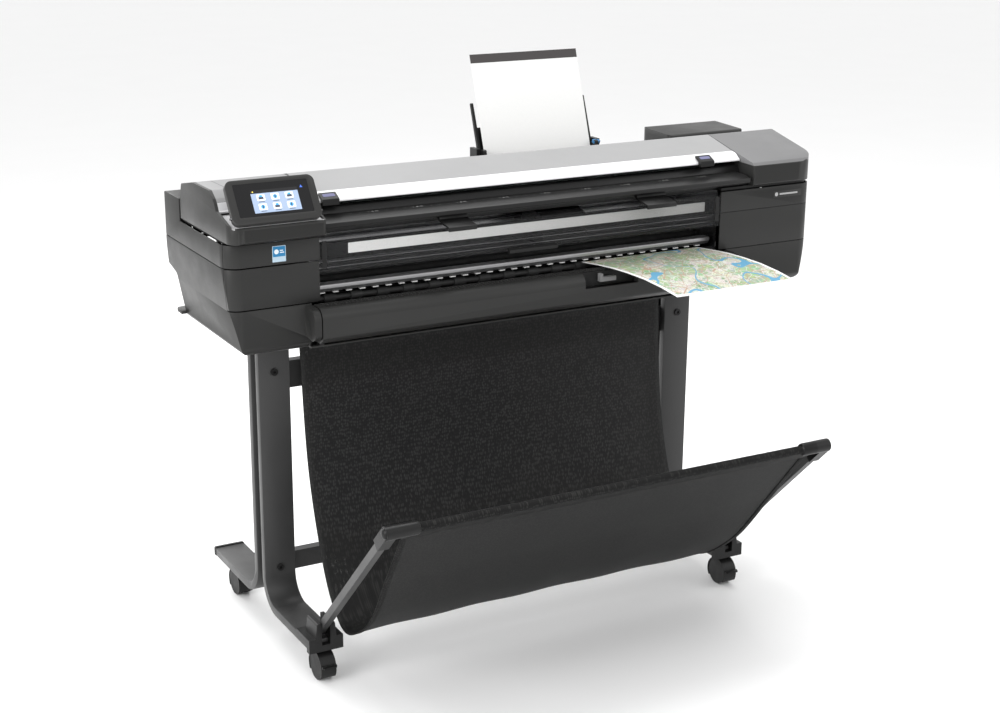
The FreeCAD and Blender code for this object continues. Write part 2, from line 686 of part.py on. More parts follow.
def hinge_bore(x0, x1, y, z):
    return cylinder(BORE_R, (x0, y, z), (x1, y, z))


def pod_profile(front):
    return [
        (192, 941), (188, 980), (176, 1014, 8), (108, 1028, 8), (12, 1029, 10), (-8, 1016, 6), (-16, 1008, 4),
        (-24, 994, 4), (front + 4, 974, 3), (front, 970, 4), (front, 944, 5), (front + 6, 941),
    ]


def pod_plan(x0, x1, front, left_r, right_r):
    return plan_slab([(x0, front, left_r), (x1, front, right_r), (x1, 192), (x0, 192, 6)], 930, 1040)


def left_pod():
    """Left end of the scanner: cheeks around the recess that holds the display."""
    x0 = PODS_X[0]
    x1 = PODS_X[1]
    solid = side_slab(pod_profile(POD_FRONT), x0, x1).common(pod_plan(x0, x1, POD_FRONT, 30, 10))
    recess = side_slab([(-97, 970.5), (-97, 1060), (-27, 1060), (-27, 986)], x0 + 6, x1 - 3)
    hollow = side_slab(
        [(-98, 944), (-98, 965), (-26, 981), (-12, 1006), (14, 1023), (108, 1022), (172, 1009), (186, 944)],
        x0 + 4, x1 - 4,
    )
    hollow = hollow.common(pod_plan(x0 + 4, x1 - 4, POD_FRONT + 4, 26, 6))
    pins = [
        hinge_pin(x0 + 5, x0 + 14, DISPLAY_PIN_Y, DISPLAY_PIN_Z),
        hinge_pin(x1 - 11, x1 - 2, DISPLAY_PIN_Y, DISPLAY_PIN_Z),
        hinge_pin(x1 - 1, x1 + 8, LID_PIN_Y, LID_PIN_Z),
    ]
    return fuse(solid.cut(recess).cut(hollow), *pins)


def right_pod():
    """Right end of the scanner, with a rounded front corner."""
    x0 = PODS_X[2]
    x1 = PODS_X[3]
    front = -76.0
    profile = [
        (192, 941), (188, 980), (176, 1012, 8), (RIDGE_Y, RIDGE_Z, 20), (front + 8, 992, 4),
        (front, 985, 4), (front, 944, 3), (front + 4, 941),
    ]
    solid = side_slab(profile, x0, x1).common(pod_plan(x0, x1, front, 4, 56))
    hollow = side_slab(
        [(front + 4, 945), (front + 4, 982), (RIDGE_Y, 1024), (172, 1006), (186, 945)], x0 + 4, x1 - 4
    )
    hollow = hollow.common(pod_plan(x0 + 4, x1 - 4, front + 4, 1, 52))
    return fuse(solid.cut(hollow), hinge_pin(x0 - 8, x0 + 1, LID_PIN_Y, LID_PIN_Z))


def lid_latch(x0):
    """Slider at the lid's front corner."""
    return side_slab(
        [(-34, 986), (-34, 998, 3), (-10, 1010, 3), (-10, 1004), (-24, 996), (-24, 986)], x0, x0 + 36
    )


DISPLAY_X0 = -700.0
DISPLAY_X1 = -518.0
DISPLAY_W = 92.0         # length of the housing up its slope
DISPLAY_TILT = 55.0
DISPLAY_Y = -103.0       # lower front edge
DISPLAY_Z = 981.0
DISPLAY_PIN_Y = -86.0
DISPLAY_PIN_Z = 990.0


def display_part(x0, x1, low, high, bottom, top, radius):
    """A plate lying in the display's own plane, tilted up to face the operator."""
    slab = plan_slab(
        [(x0, DISPLAY_Y + low, radius), (x1, DISPLAY_Y + low, radius),
         (x1, DISPLAY_Y + high, radius), (x0, DISPLAY_Y + high, radius)],
        DISPLAY_Z + bottom, DISPLAY_Z + top,
    )
    return turned(slab, DISPLAY_TILT, DISPLAY_Y, DISPLAY_Z)


def display_housing():
    """Frame around the screen, with a hinge bore in each end."""
    frame = display_part(DISPLAY_X0, DISPLAY_X1, 0, DISPLAY_W, -12, 0, 14)
    frame = frame.cut(display_part(DISPLAY_X0 + 15, DISPLAY_X1 - 15, 14, DISPLAY_W - 9, -3, 2, 2))
    bores = [hinge_bore(x - 8, x + 8, DISPLAY_PIN_Y, DISPLAY_PIN_Z) for x in (DISPLAY_X0, DISPLAY_X1)]
    return frame.cut(Part.makeCompound(bores))


def display_glass():
    return display_part(DISPLAY_X0 + 15.2, DISPLAY_X1 - 15.2, 14.2, DISPLAY_W - 9.2, -2.8, -0.4, 2)


# ---- rear ----
def electronics_box():
    """Cover over the electronics at the rear right."""
    x0 = 496.0
    x1 = 706.0
    form = side_slab(
        [(199, HUMP_TOP), (199, 1015, 12), (326, 1019, 14), (332, 990, 6), (322, HUMP_TOP)], x0, x1
    )
    form = form.common(plan_slab([(x0, 199, 18), (x1, 199, 10), (x1, 332, 22), (x0, 332, 30)], 975, 1030))
    inner = box(x0 + 8, x1 - 4, 208, 312, HUMP_TOP - 1, 1010)
    return form.cut(inner)


TRAY_X0 = 28.0
TRAY_X1 = TRAY_X0 + SHEET_W + 3
SHEET_LEAN = 18.7
ARM_LEAN = 22.0
TRAY_PIVOT_Y = 266.0
TRAY_PIVOT_Z = 1000.0


def tray_base():
    """Sheet feeder throat on top of the rear cover, with its hinge cheeks and two edge guides."""
    throat = box(TRAY_X0 - 24, TRAY_X1 + 22, 232, 284, HUMP_TOP, 992)
    throat = throat.cut(box(TRAY_X0 - 1, TRAY_X1 + 1, 244, 260, HUMP_TOP - 1, 1000))
    cheeks = [box(x, x + 10, 250, 282, 991, 1014) for x in (TRAY_X0 - 22, TRAY_X1 + 10)]
    guides = [
        side_slab([(236, 991), (240, 1012, 4), (256, 1012, 4), (256, 991)], x, x + 8)
        for x in (TRAY_X0 - 10, TRAY_X1 + 2)
    ]
    pin_holes = cylinder(
        3.1, (TRAY_X0 - 40, TRAY_PIVOT_Y, TRAY_PIVOT_Z), (TRAY_X1 + 40, TRAY_PIVOT_Y, TRAY_PIVOT_Z)
    )
    return fuse(throat, *cheeks, *guides).cut(pin_holes)


def tray_arms():
    """Folding back rest: two tapered arms, a lower plate and the hinge pin."""
    arms = []
    for x in (TRAY_X0 - 8, TRAY_X1 + 2):
        arms.append(side_slab([(-2, -5), (-5, 116, 3), (1, 116, 3), (7, 0), (5, -5)], x, x + 6))
    plate = box(TRAY_X0 - 2, TRAY_X1 + 2, 1, 4, 3, 60)
    pin = cylinder(3, (TRAY_X0 - 22, 0, 0), (TRAY_X1 + 20, 0, 0))
    rest = fuse(*arms, plate, pin)
    rest.translate(V(0, TRAY_PIVOT_Y, TRAY_PIVOT_Z))
    return turned(rest, -ARM_LEAN, TRAY_PIVOT_Y, TRAY_PIVOT_Z)


def tray_sheet():
    """Cut sheet standing in the feeder."""
    lean = math.radians(SHEET_LEAN)
    length = 243.0
    y0 = 252.0
    z0 = 984.0
    thick = 0.6
    y1 = y0 + length * math.sin(lean)
    z1 = z0 + length * math.cos(lean)
    points = [(y0, z0), (y1, z1), (y1 - thick, z1), (y0 - thick, z0)]
    return side_slab(points, TRAY_X0 + 1.5, TRAY_X0 + 1.5 + SHEET_W)


def printed_sheet():
    """Printed sheet that has left the slot, a little askew, and droops towards the operator."""
    path = [
        (-36, 804.5), (-74, 806), (-118, 806.5), (-160, 804), (-205, 799), (-250, 790), (-293, 778),
    ]
    skew = 74.0
    x0 = 112.0
    cut = plan_slab(
        [(x0, -36), (x0 + PRINT_W, -36), (x0 + PRINT_W + skew, -293), (x0 + skew, -293)], 760, 820
    )
    return strip(path, 0.8, x0 - 10, x0 + PRINT_W + skew + 10).common(cut)


def nodes():
    """Every piece by name."""
    parts = {
        "left_front_leg": leg_member(LEFT_LEG, True),
        "left_rear_leg": leg_member(LEFT_LEG, False),
        "right_front_leg": leg_member(RIGHT_LEG, True),
        "right_rear_leg": leg_member(RIGHT_LEG, False),
        "leg_spines": leg_spines(),
        "lower_cross_brace": cross_beam(142, 184),
        "upper_cross_beam": cross_beam(560, 620),
        "leg_bolts": leg_bolts(),
        "foot_fittings": foot_fittings(),
        "basket_tubes": basket_tubes(),
        "basket_elbows": basket_elbows(),
        "fabric_back": fabric_panel(BACK_PATH),
        "fabric_trough": fabric_panel(TROUGH_PATH),
        "fabric_front": fabric_panel(FRONT_PATH),
        "bottom_pan": bottom_pan(),
        "left_side_cover": left_side_cover(),
        "left_upper_cover": left_upper_cover(),
        "ink_door": ink_door(),
        "ink_cartridges": ink_cartridges(),
        "right_cover": right_cover(),
        "rear_cover": rear_cover(),
        "rear_sockets": rear_sockets(),
        "inner_frame": inner_frame(),
        "feed_roller": roller(FEED_Y, FEED_Z, FEED_R, False),
        "exit_roller": roller(EXIT_Y, EXIT_Z, EXIT_R, True),
        "carriage_rail": carriage_rail(),
        "carriage": carriage(),
        "platen": platen(),
        "star_wheel_bar": star_wheel_bar(),
        "window": window(),
        "window_grip": window_grip(),
        "roll_cover": roll_cover(),
        "roll_supports": roll_supports(),
        "spindle": spindle(),
        "paper_roll": paper_roll(),
        "scanner_base": group(scanner_base(), scanner_plinth()),
        "scanner_glass": scanner_glass(),
        "scanner_lid": scanner_lid(),
        "scanner_input_tray": input_tray(),
        "left_pod": left_pod(),
        "right_pod": right_pod(),
        "left_lid_latch": lid_latch(-490),
        "right_lid_latch": lid_latch(418),
        "display_housing": display_housing(),
        "display_glass": display_glass(),
        "electronics_box": electronics_box(),
        "tray_base": tray_base(),
        "tray_arms": tray_arms(),
        "tray_sheet": tray_sheet(),
        "printed_sheet": printed_sheet(),
    }
    for side, x in (("left", LEFT_LEG), ("right", RIGHT_LEG)):
        for end, y in (("front", CASTER_FRONT_Y), ("rear", CASTER_REAR_Y)):
            axle_y = y - CASTER_TRAIL
            parts[side + "_" + end + "_caster_fork"] = caster_fork(x, y, axle_y)
            parts[side + "_" + end + "_caster_wheels"] = caster_wheels(x, axle_y)
        parts[side + "_brake_pedal"] = brake_pedal(x, CASTER_FRONT_Y - CASTER_TRAIL)
    return parts


os.makedirs("parts", exist_ok=True)
for name, shape in nodes().items():
    shape.exportStep("parts/" + name + ".step")
    print(name, shape.isValid(), len(shape.Solids), round(shape.Volume / 1000))
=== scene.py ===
import json
import math

import bmesh
import bpy
from mathutils import Matrix, Vector, noise


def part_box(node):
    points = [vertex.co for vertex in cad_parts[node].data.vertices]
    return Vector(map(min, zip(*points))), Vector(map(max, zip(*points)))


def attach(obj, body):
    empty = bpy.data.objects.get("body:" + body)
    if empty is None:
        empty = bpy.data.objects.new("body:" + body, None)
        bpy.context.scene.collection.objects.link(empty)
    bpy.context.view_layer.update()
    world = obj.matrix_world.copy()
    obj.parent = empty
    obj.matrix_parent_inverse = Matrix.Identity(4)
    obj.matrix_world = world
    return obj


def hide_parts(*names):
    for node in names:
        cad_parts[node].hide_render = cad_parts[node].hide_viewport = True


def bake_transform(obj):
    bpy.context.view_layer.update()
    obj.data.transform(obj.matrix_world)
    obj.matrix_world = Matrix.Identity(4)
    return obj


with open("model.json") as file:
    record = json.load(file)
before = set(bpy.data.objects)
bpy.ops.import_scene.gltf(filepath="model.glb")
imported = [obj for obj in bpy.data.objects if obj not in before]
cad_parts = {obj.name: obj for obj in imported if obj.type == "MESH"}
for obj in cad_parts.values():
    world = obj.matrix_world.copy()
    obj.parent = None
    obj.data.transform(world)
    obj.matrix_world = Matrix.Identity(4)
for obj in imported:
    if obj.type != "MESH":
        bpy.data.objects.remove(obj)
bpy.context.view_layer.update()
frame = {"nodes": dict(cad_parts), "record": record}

NODES = frame["nodes"]
BODY_OF = {node: body for body, names in frame["record"]["behaviour"]["bodies"].items() for node in names}
SLOT_OF = {part["node"]: part["material_slot"] for part in frame["record"]["subparts"]}

# ---- places taken from the frame, in metres ----
BACK_LOW, BACK_HIGH = [Vector(corner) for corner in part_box("fabric_back")]
FRONT_LOW, FRONT_HIGH = [Vector(corner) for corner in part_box("fabric_front")]
TROUGH_LOW, TROUGH_HIGH = [Vector(corner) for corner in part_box("fabric_trough")]
TUBES_LOW, TUBES_HIGH = [Vector(corner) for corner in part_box("basket_tubes")]
SHEET_LOW, SHEET_HIGH = [Vector(corner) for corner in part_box("printed_sheet")]
FEEDER_HIGH = Vector(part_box("tray_sheet")[1])
BODY_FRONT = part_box("window")[0][1]
POD_LEFT, POD_RIGHT = [corner[0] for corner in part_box("left_pod")]
POD_RIGHT -= 0.008      # the lid's hinge pin sticks out that far

# ---- sizes and places that the frame doesn't give, in metres ----
STRIP_REAR = 0.006      # rear edge of the white strip along the lid's front
SHEET_W = 0.305
SHEET_SKEW = 74 / 257   # sideways shift of the printed sheet per unit of its reach
SHEET_MARGIN = 0.007
FEEDER_BAND = 0.019     # depth of the dark band along the feeder sheet's top
SCREEN_X = -0.605       # middle of the display, its foot and its slope
SCREEN_FOOT = (-0.103, 0.981)
SCREEN_SLOPE = 55
SCREEN_HALF = 0.048
SCREEN_V = (0.0207, 0.0683)
SCREEN_BAR = 0.0068     # height of the status bar
TILE_PITCH = (0.029, 0.0195)
STICKER = (-0.613, -0.585, 0.893, 0.925)
# ends of the painted reflection strip on the rail behind the window
WINDOW_REFLECTION_X = (-0.442, 0.425)
BAR_R = 0.007           # front bar of the basket
BAR_Y = TUBES_LOW.y + BAR_R
BAR_Z = TUBES_HIGH.z - BAR_R
CUFF_STARTS = (("left", -0.5168, 1), ("right", 0.4538, -1))
CUFF_RINGS = ((0.0, 0.0112), (0.0, 0.0138), (0.030, 0.0138), (0.034, 0.0128), (0.036, 0.0098))
FABRIC_MIDDLE = (BACK_LOW.x + BACK_HIGH.x) / 2
FABRIC_X = (FABRIC_MIDDLE - 0.4805, FABRIC_MIDDLE + 0.4805)
NARROW = 0.0255         # how much less half-width the hanging part has than the sleeve
SLEEVE = 0.020          # depth of the sewn sleeve round the front bar
HEM = 0.013             # width of the side hems
CLOTH = 0.0007          # thickness of the mesh
MESH_PITCH = 0.0046     # size of the pattern's cells
STITCH_PITCH = 0.0055

# ---- colours that several materials share ----
CHARCOAL = (0.0165, 0.0165, 0.016)
BLACK = (0.005, 0.005, 0.005)


# ---- camera, lights and floor ----
def make_camera():
    """Long-lens view from the operator's left, a little above the machine."""
    azimuth = math.radians(-29.05)
    drop = math.radians(16.96)
    roll = math.radians(0.42)
    level_reach = math.cos(drop)
    forward = Vector((-math.sin(azimuth) * level_reach, math.cos(azimuth) * level_reach, -math.sin(drop)))
    level = forward.cross(Vector((0, 0, 1))).normalized()
    above = level.cross(forward)
    right = level * math.cos(roll) + above * math.sin(roll)
    up = above * math.cos(roll) - level * math.sin(roll)
    turn = Matrix((right, up, -forward)).transposed().to_4x4()
    data = bpy.data.cameras.new("camera")
    data.sensor_width = 36
    data.lens = 61.9
    data.clip_end = 50
    camera = bpy.data.objects.new("camera", data)
    camera.matrix_world = Matrix.Translation((-1.7993, -3.115, 1.6939)) @ turn
    bpy.context.collection.objects.link(camera)
    bpy.context.scene.camera = camera


def make_light(name, place, target, size, power):
    """Rectangular area light at place, turned to the target."""
    data = bpy.data.lights.new(name, "AREA")
    data.shape = "RECTANGLE"
    data.size = size[0]
    data.size_y = size[1]
    data.energy = power
    light = bpy.data.objects.new(name, data)
    aim = Vector(target) - Vector(place)
    light.matrix_world = Matrix.Translation(place) @ aim.to_track_quat("-Z", "Y").to_matrix().to_4x4()
    bpy.context.collection.objects.link(light)


def make_studio():
    """Five soft lights, a white world and a pale floor."""
    middle = (0, 0, 0.8)
    make_light("key_light", (-4.2, -1.0, 2.4), middle, (2.2, 2.6), 105)
    make_light("front_light", (-0.4, -4.2, 3.4), middle, (2.6, 1.6), 24)
    make_light("fill_light", (3.6, -2.0, 2.0), middle, (2.2, 2.6), 22)
    make_light("top_light", (0.2, 0.9, 3.8), middle, (3.4, 2.0), 78)
    make_light("rear_light", (-1.2, 3.4, 2.2), middle, (2.4, 2.0), 70)
    world = bpy.data.worlds.new("studio")
    world.use_nodes = True
    background = world.node_tree.nodes["Background"]
    background.inputs["Color"].default_value = (1, 1, 1, 1)
    background.inputs["Strength"].default_value = 1.0
    bpy.context.scene.world = world
    bpy.context.scene.view_settings.view_transform = "Standard"
    bpy.ops.mesh.primitive_plane_add(size=60)
    floor = bpy.context.object
    floor.name = "studio_floor"
    floor.data.materials.append(plain_floor())


# ---- material helpers ----
class Shader:
    """A small wrapper that builds node materials."""

    def __init__(self, name):
        self.material = bpy.data.materials.new(name)
        self.material.use_nodes = True
        self.tree = self.material.node_tree
        self.surface = self.tree.nodes["Principled BSDF"]

    def node(self, kind, **settings):
        made = self.tree.nodes.new(kind)
        for key, value in settings.items():
            setattr(made, key, value)
        return made

    def link(self, source, target):
        self.tree.links.new(source, target)

    def put(self, target, value):
        """Set a socket to a number or colour, or link another socket to it."""
        if isinstance(value, bpy.types.NodeSocket):
            self.link(value, target)
        elif isinstance(value, tuple) and len(value) == 3 and target.type == "RGBA":
            target.default_value = (*value, 1)
        else:
            target.default_value = value

    def set(self, **values):
        for key, value in values.items():
            self.put(self.surface.inputs[key.replace("_", " ")], value)
        return self

    def place(self):
        """Frame coordinates of the shaded point, in metres."""
        return self.node("ShaderNodeTexCoord").outputs["Object"]

    def axes(self, source=None):
        split = self.node("ShaderNodeSeparateXYZ")
        self.link(source or self.place(), split.inputs[0])
        return split.outputs

    def math(self, operation, a, b=0.0):
        made = self.node("ShaderNodeMath", operation=operation)
        for socket, value in zip(made.inputs, (a, b)):
            self.put(socket, value)
        return made.outputs[0]

    def scaled(self, factors):
        made = self.node("ShaderNodeMapping")
        self.link(self.place(), made.inputs["Vector"])
        made.inputs["Scale"].default_value = factors
        return made.outputs[0]

    def noise(self, scale, detail=2.0, source=None, roughness=0.5):
        made = self.node("ShaderNodeTexNoise")
        self.link(source or self.place(), made.inputs["Vector"])
        made.inputs["Scale"].default_value = scale
        made.inputs["Detail"].default_value = detail
        made.inputs["Roughness"].default_value = roughness
        return made.outputs["Fac"]

    def voronoi(self, scale, feature="F1", output="Distance", source=None, randomness=1.0):
        made = self.node("ShaderNodeTexVoronoi", feature=feature)
        self.link(source or self.place(), made.inputs["Vector"])
        made.inputs["Scale"].default_value = scale
        made.inputs["Randomness"].default_value = randomness
        return made.outputs[output]

    def ramp(self, source, low, high, start=0.0, end=1.0):
        """Map a value from start..end to low..high, clamped."""
        made = self.node("ShaderNodeMapRange")
        self.link(source, made.inputs["Value"])
        made.inputs["From Min"].default_value = start
        made.inputs["From Max"].default_value = end
        made.inputs["To Min"].default_value = low
        made.inputs["To Max"].default_value = high
        return made.outputs["Result"]

    def mix(self, factor, first, second):
        made = self.node("ShaderNodeMix", data_type="RGBA")
        self.put(made.inputs["Factor"], factor)
        self.put(made.inputs[6], first)
        self.put(made.inputs[7], second)
        return made.outputs[2]

    def bump(self, height, strength, distance):
        made = self.node("ShaderNodeBump")
        made.inputs["Strength"].default_value = strength
        made.inputs["Distance"].default_value = distance
        self.link(height, made.inputs["Height"])
        self.link(made.outputs[0], self.surface.inputs["Normal"])

    def between(self, value, low, high):
        """1 where low < value < high."""
        above = self.math("GREATER_THAN", value, low)
        below = self.math("LESS_THAN", value, high)
        return self.math("MULTIPLY", above, below)

    def inside(self, low, high):
        """1 inside a box given by its two corners, in metres."""
        mask = 1.0
        for value, first, last in zip(self.axes(), low, high):
            mask = self.math("MULTIPLY", self.between(value, first, last), mask)
        return mask

    def facing_up(self, least):
        """1 where the surface looks up more than least."""
        normal = self.node("ShaderNodeNewGeometry").outputs["Normal"]
        return self.math("GREATER_THAN", self.axes(normal)[2], least)

    def top_inside(self, low, high, least):
        """1 on the upward faces inside a box."""
        return self.math("MULTIPLY", self.inside(low, high), self.facing_up(least))

    def rough(self, source, low, high):
        """Roughness that wanders from low to high with the middle of a noise."""
        self.put(self.surface.inputs["Roughness"], self.ramp(source, low, high, 0.3, 0.7))


def plain_floor():
    shader = Shader("floor_paint")
    tone = shader.mix(shader.noise(3), (0.90, 0.90, 0.90), (0.92, 0.92, 0.92))
    return shader.set(Base_Color=tone, Roughness=0.6).material


def plastic_tone(shader, tone):
    """Faint clouds in one colour, with a painted highlight along sharp edges."""
    dark = tuple(channel * 0.95 for channel in tone)
    light = tuple(channel * 1.05 for channel in tone)
    base = shader.mix(shader.ramp(shader.noise(5, 4), 0, 1, 0.3, 0.7), dark, light)
    edge = shader.node("ShaderNodeNewGeometry").outputs["Pointiness"]
    # sharp edges painted lighter: a painted highlight
    edge_highlight = tuple(min(1, channel * 1.9 + 0.012) for channel in tone)
    return shader.mix(shader.ramp(edge, 0, 0.4, 0.515, 0.56), base, edge_highlight)


def plastic_finish(shader, rough, grain=0.35):
    """Uneven gloss and fine spark-eroded grain."""
    smears = shader.noise(22, 5)
    shader.rough(smears, rough - 0.03, rough + 0.04)
    shader.bump(shader.noise(1400, 1), grain, 0.00012)
    shader.set(Specular_IOR_Level=0.22)
    return shader.material


def moulded_plastic(name, tone, rough, grain=0.35):
    """Plain plastic in one colour."""
    shader = Shader(name)
    shader.set(Base_Color=plastic_tone(shader, tone))
    return plastic_finish(shader, rough, grain)


def patched_plastic(name, tone, patches, rough):
    """Plastic with coloured areas: patches is a list of functions giving (mask, colour)."""
    shader = Shader(name)
    base = plastic_tone(shader, tone)
    for patch in patches:
        mask, colour = patch(shader)
        base = shader.mix(mask, base, colour)
    shader.set(Base_Color=base)
    return plastic_finish(shader, rough)


def left_pod_plastic():
    """Charcoal end housing with a silver top panel and a pale floor in the display recess."""
    low_x = POD_LEFT + 0.0065
    high_x = POD_RIGHT - 0.0035
    seam_x = POD_LEFT + 0.038

    def panel(shader):
        return shader.top_inside((low_x, -0.0145, 1.005), (high_x, 0.172, 1.05), 0.3), (0.23, 0.23, 0.232)

    def recess(shader):
        return shader.top_inside((low_x, -0.0985, 0.96), (high_x, -0.0145, 1.009), 0.2), (0.50, 0.50, 0.51)

    def seam(shader):
        return shader.inside((seam_x, 0.014, 1.005), (seam_x + 0.0014, 0.178, 1.05)), (0.01, 0.01, 0.01)

    return patched_plastic("left_pod_plastic", CHARCOAL, [panel, recess, seam], 0.36)


def right_pod_plastic():
    """Charcoal end housing with a silver top."""
    def top(shader):
        return shader.top_inside((0.5, -0.2, 0.986), (0.72, 0.18, 1.06), 0.12), (0.16, 0.16, 0.162)

    return patched_plastic("right_pod_plastic", CHARCOAL, [top], 0.36)


def roll_cover_plastic():
    """Charcoal cover with painted shade, near black, in the latch recess and a grey clip in it."""
    def recess_shade(shader):
        # inside of the latch recess painted near black: painted shade
        return shader.inside((0.0722, -0.1165, 0.7665), (0.2048, -0.0985, 0.7995)), (0.004, 0.004, 0.004)

    def clip(shader):
        return shader.inside((0.111, -0.113, 0.777), (0.153, -0.1012, 0.796)), (0.16, 0.16, 0.16)

    return patched_plastic("roll_cover_plastic", CHARCOAL, [recess_shade, clip], 0.4)


def powder_coat(name, tone, rough=0.38):
    """Powder-coated steel: slight orange peel under a satin film."""
    shader = Shader(name)
    clouds = shader.noise(3, 4)
    base = shader.mix(clouds, tuple(c * 0.85 for c in tone), tuple(c * 1.15 for c in tone))
    edge = shader.node("ShaderNodeNewGeometry").outputs["Pointiness"]
    # sharp edges painted lighter: a painted highlight
    base = shader.mix(shader.ramp(edge, 0, 0.5, 0.51, 0.56), base, tuple(c * 2.2 for c in tone))
    shader.set(Base_Color=base, Metallic=0.2, Specular_IOR_Level=0.3)
    shader.rough(shader.noise(14, 4), rough - 0.05, rough + 0.08)
    shader.bump(shader.noise(420, 2), 0.25, 0.0002)
    return shader.material


def brushed_metal(name, tone, rough=0.28):
    """Metal drawn along X, with fine streaks."""
    shader = Shader(name)
    streaks = shader.noise(90, 6, shader.scaled((0.02, 8, 8)))
    base = shader.mix(streaks, tuple(c * 0.8 for c in tone), tone)
    shader.set(Base_Color=base, Metallic=1.0)
    shader.rough(streaks, rough - 0.08, rough + 0.1)
    shader.bump(streaks, 0.15, 0.0001)
    return shader.material


def rubber(name, tone):
    """Dull rubber with fine dust in its pores."""
    shader = Shader(name)
    base = shader.mix(shader.noise(60, 4), tuple(c * 0.8 for c in tone), tuple(c * 1.3 for c in tone))
    shader.set(Base_Color=base)
    shader.rough(shader.noise(35, 4), 0.55, 0.8)
    shader.bump(shader.noise(900, 2), 0.3, 0.0001)
    return shader.material


def paper(name, tone=(0.86, 0.86, 0.85)):
    """Uncoated paper: fibre mottling and a faint tooth."""
    shader = Shader(name)
    fibres = shader.noise(260, 5)
    base = shader.mix(fibres, tuple(c * 0.965 for c in tone), tone)
    shader.set(Base_Color=base, Roughness=0.75)
    shader.bump(fibres, 0.12, 0.00008)
    return shader.material


def smoked_window():
    """Tinted clear plastic, a little smeared."""
    shader = Shader("smoked_window")
    tone = shader.mix(shader.noise(8, 3), (0.02, 0.02, 0.021), (0.03, 0.03, 0.031))
    shader.set(Base_Color=tone, Specular_IOR_Level=0.25, Alpha=0.26)
    shader.put(shader.surface.inputs["Roughness"], shader.ramp(shader.noise(12, 4), 0.04, 0.1))
    shader.material.surface_render_method = "BLENDED"
    return shader.material


def clear_glass():
    """Faintly green flat glass."""
    shader = Shader("clear_glass")
    tone = shader.mix(shader.noise(10, 2), (0.5, 0.56, 0.55), (0.56, 0.6, 0.6))
    return shader.set(Base_Color=tone, Roughness=0.05, Alpha=0.4).material


def lid_plastic():
    """Silver lid whose front edge carries a glossy white strip."""
    shader = Shader("lid_plastic")
    y = shader.axes()[1]
    clouds = shader.noise(4, 4)
    silver = shader.mix(clouds, (0.25, 0.25, 0.252), (0.30, 0.30, 0.302))
    white = shader.mix(clouds, (0.78, 0.78, 0.79), (0.84, 0.84, 0.85))
    strip = shader.math("LESS_THAN", y, STRIP_REAR)
    shader.set(Base_Color=shader.mix(strip, silver, white))
    shader.rough(shader.noise(18, 4), 0.3, 0.42)
    shader.bump(shader.noise(1300, 1), 0.2, 0.0001)
    return shader.material


def star_wheel_steel():
    """Bright drawn rail; the wheels below it are black, with a thin painted highlight band across them."""
    shader = Shader("star_wheel_steel")
    streaks = shader.noise(90, 6, shader.scaled((0.02, 8, 8)))
    steel = shader.mix(streaks, (0.3, 0.3, 0.31), (0.5, 0.5, 0.5))
    height = shader.axes()[2]
    wheels = shader.math("LESS_THAN", height, 0.8102)
    # pale band across the wheels: a painted highlight
    wheel_highlight = shader.between(height, 0.8066, 0.8088)
    colour = shader.mix(wheel_highlight, shader.mix(wheels, steel, (0.01, 0.01, 0.01)), (0.8, 0.8, 0.79))
    shader.set(Base_Color=colour, Roughness=0.3)
    bare = shader.math("SUBTRACT", 0.8, shader.math("MULTIPLY", wheels, 0.8))
    shader.put(shader.surface.inputs["Metallic"], bare)
    return shader.material


def feeder_paper():
    """White sheet with a dark grey band along its top edge."""
    shader = Shader("feeder_paper")
    fibres = shader.noise(260, 5)
    sheet = shader.mix(fibres, (0.74, 0.74, 0.73), (0.78, 0.78, 0.77))
    band = shader.math("GREATER_THAN", shader.axes()[2], FEEDER_HIGH.z - FEEDER_BAND)
    shader.set(Base_Color=shader.mix(band, sheet, (0.045, 0.04, 0.04)), Roughness=0.7)
    shader.bump(fibres, 0.12, 0.00008)
    return shader.material


def map_print():
    """Printed sheet: a made-up town plan with parks, a river and streets inside a white margin."""
    shader = Shader("map_print")
    x, y = shader.axes()[:2]
    down = shader.math("SUBTRACT", SHEET_HIGH.y, y)
    from_left = shader.math("SUBTRACT", x, SHEET_LOW.x)
    across = shader.math("SUBTRACT", from_left, shader.math("MULTIPLY", down, SHEET_SKEW))
    ground = shader.mix(shader.noise(18, 3), (0.50, 0.50, 0.42), (0.60, 0.59, 0.50))
    parks = shader.ramp(shader.noise(15, 4, roughness=0.62), 0, 1, 0.485, 0.5)
    tone = shader.mix(parks, ground, (0.22, 0.37, 0.17))
    woods = shader.ramp(shader.noise(26, 3), 0, 1, 0.59, 0.61)
    tone = shader.mix(woods, tone, (0.13, 0.29, 0.13))
    tone = shader.mix(0.14, tone, shader.voronoi(90, output="Color"))
    lanes = (150, 0.05, (0.33, 0.32, 0.27))
    roads = (60, 0.035, (0.58, 0.58, 0.53))
    highways = (30, 0.022, (0.40, 0.27, 0.20))
    for scale, width, colour in (lanes, roads, highways):
        edges = shader.voronoi(scale, feature="DISTANCE_TO_EDGE")
        tone = shader.mix(shader.math("LESS_THAN", edges, width), tone, colour)
    bend = shader.noise(7, 1)
    river = shader.math("LESS_THAN", shader.math("ABSOLUTE", shader.math("SUBTRACT", bend, 0.5)), 0.006)
    tone = shader.mix(river, tone, (0.10, 0.30, 0.46))
    inked = shader.math(
        "MULTIPLY", shader.between(across, SHEET_MARGIN, SHEET_W - SHEET_MARGIN),
        shader.between(down, -1, SHEET_HIGH.y - SHEET_LOW.y - SHEET_MARGIN),
    )
    shader.set(Base_Color=shader.mix(inked, (0.80, 0.80, 0.79), tone), Roughness=0.5)
    shader.bump(shader.noise(260, 5), 0.1, 0.00008)
    return shader.material


